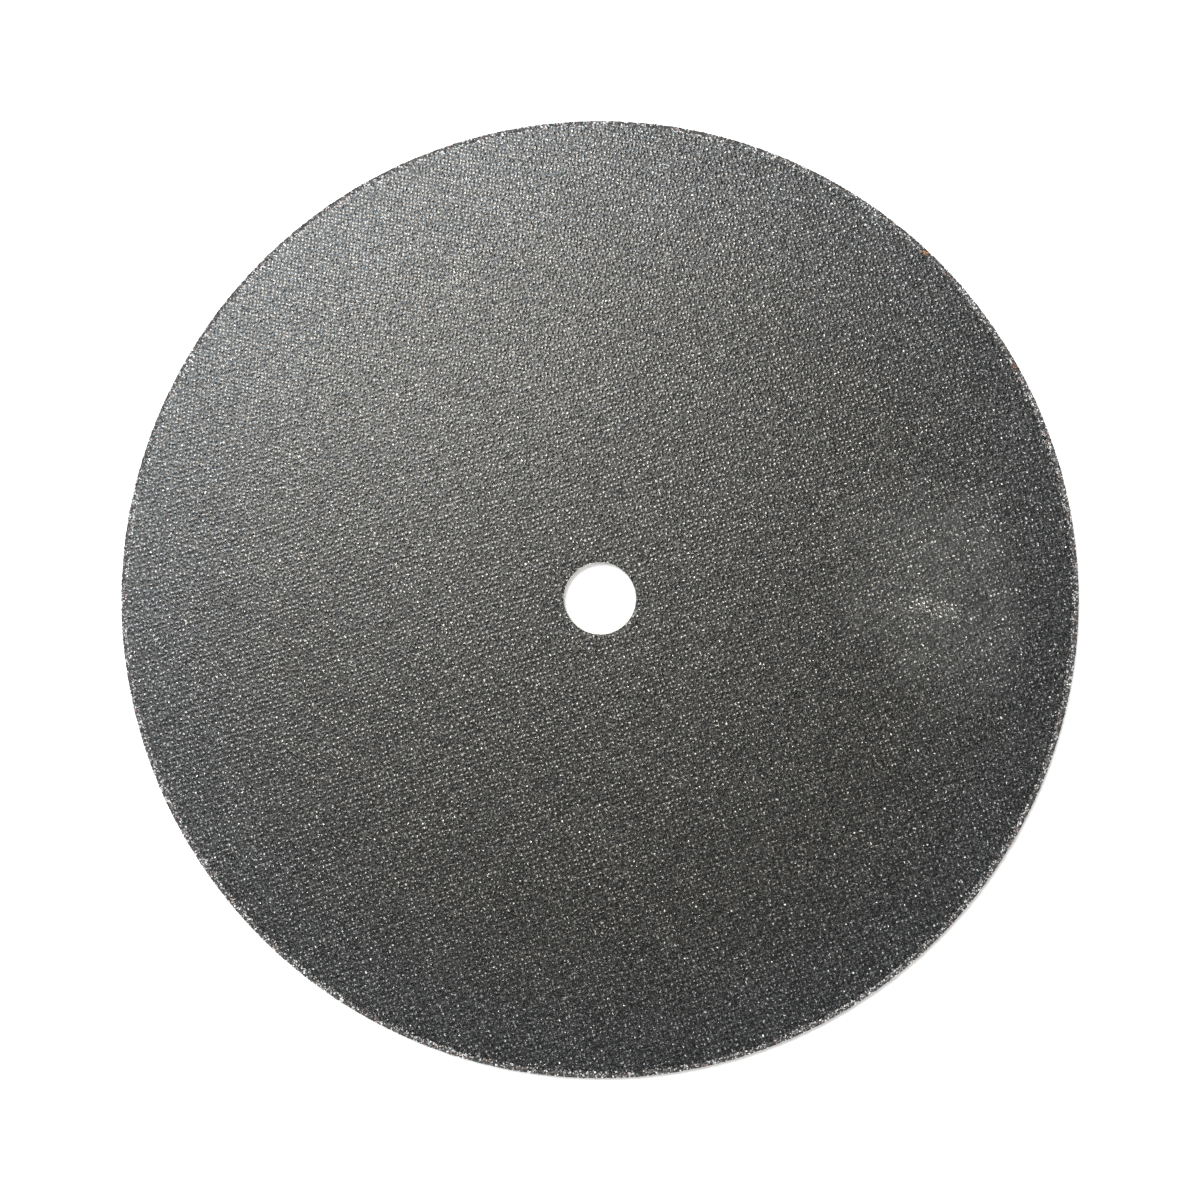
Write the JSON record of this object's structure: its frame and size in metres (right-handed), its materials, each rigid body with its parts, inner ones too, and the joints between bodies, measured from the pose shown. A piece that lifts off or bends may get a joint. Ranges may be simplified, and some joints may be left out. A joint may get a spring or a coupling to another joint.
{
  "type": "abrasive cut-off wheel",
  "caption": "Flat round resin-bonded abrasive cut-off wheel, reinforced with glass mesh, with black cloth-imprinted faces, a raw grit rim and a plain round bore.",
  "frame": {"origin": "centre of the bore on the rear face, which is the lowest face as the wheel lies flat", "axes": "+Z along the spin axis, from the rear face to the front face; +X and +Y lie in the wheel's plane and are free, because the wheel is round"},
  "size_m": [0.3, 0.3, 0.0032],
  "materials": {
    "facing_cloth": "dark grey resin with a woven cloth imprint, satin on the raised dots",
    "bonded_grit": "coarse brown and grey grit in dark resin, rough",
    "glass_net": "straw-coloured resin-dipped glass fibre net",
    "tinplate": "dull tin-plated sheet steel"
  },
  "bodies": {
    "root": {"front_facing": "facing_cloth", "front_glass_mesh": "glass_net", "front_abrasive_layer": "bonded_grit", "centre_glass_mesh": "glass_net", "rear_abrasive_layer": "bonded_grit", "rear_glass_mesh": "glass_net", "rear_facing": "facing_cloth", "arbor_bush": "tinplate"}
  },
  "joints": []
}
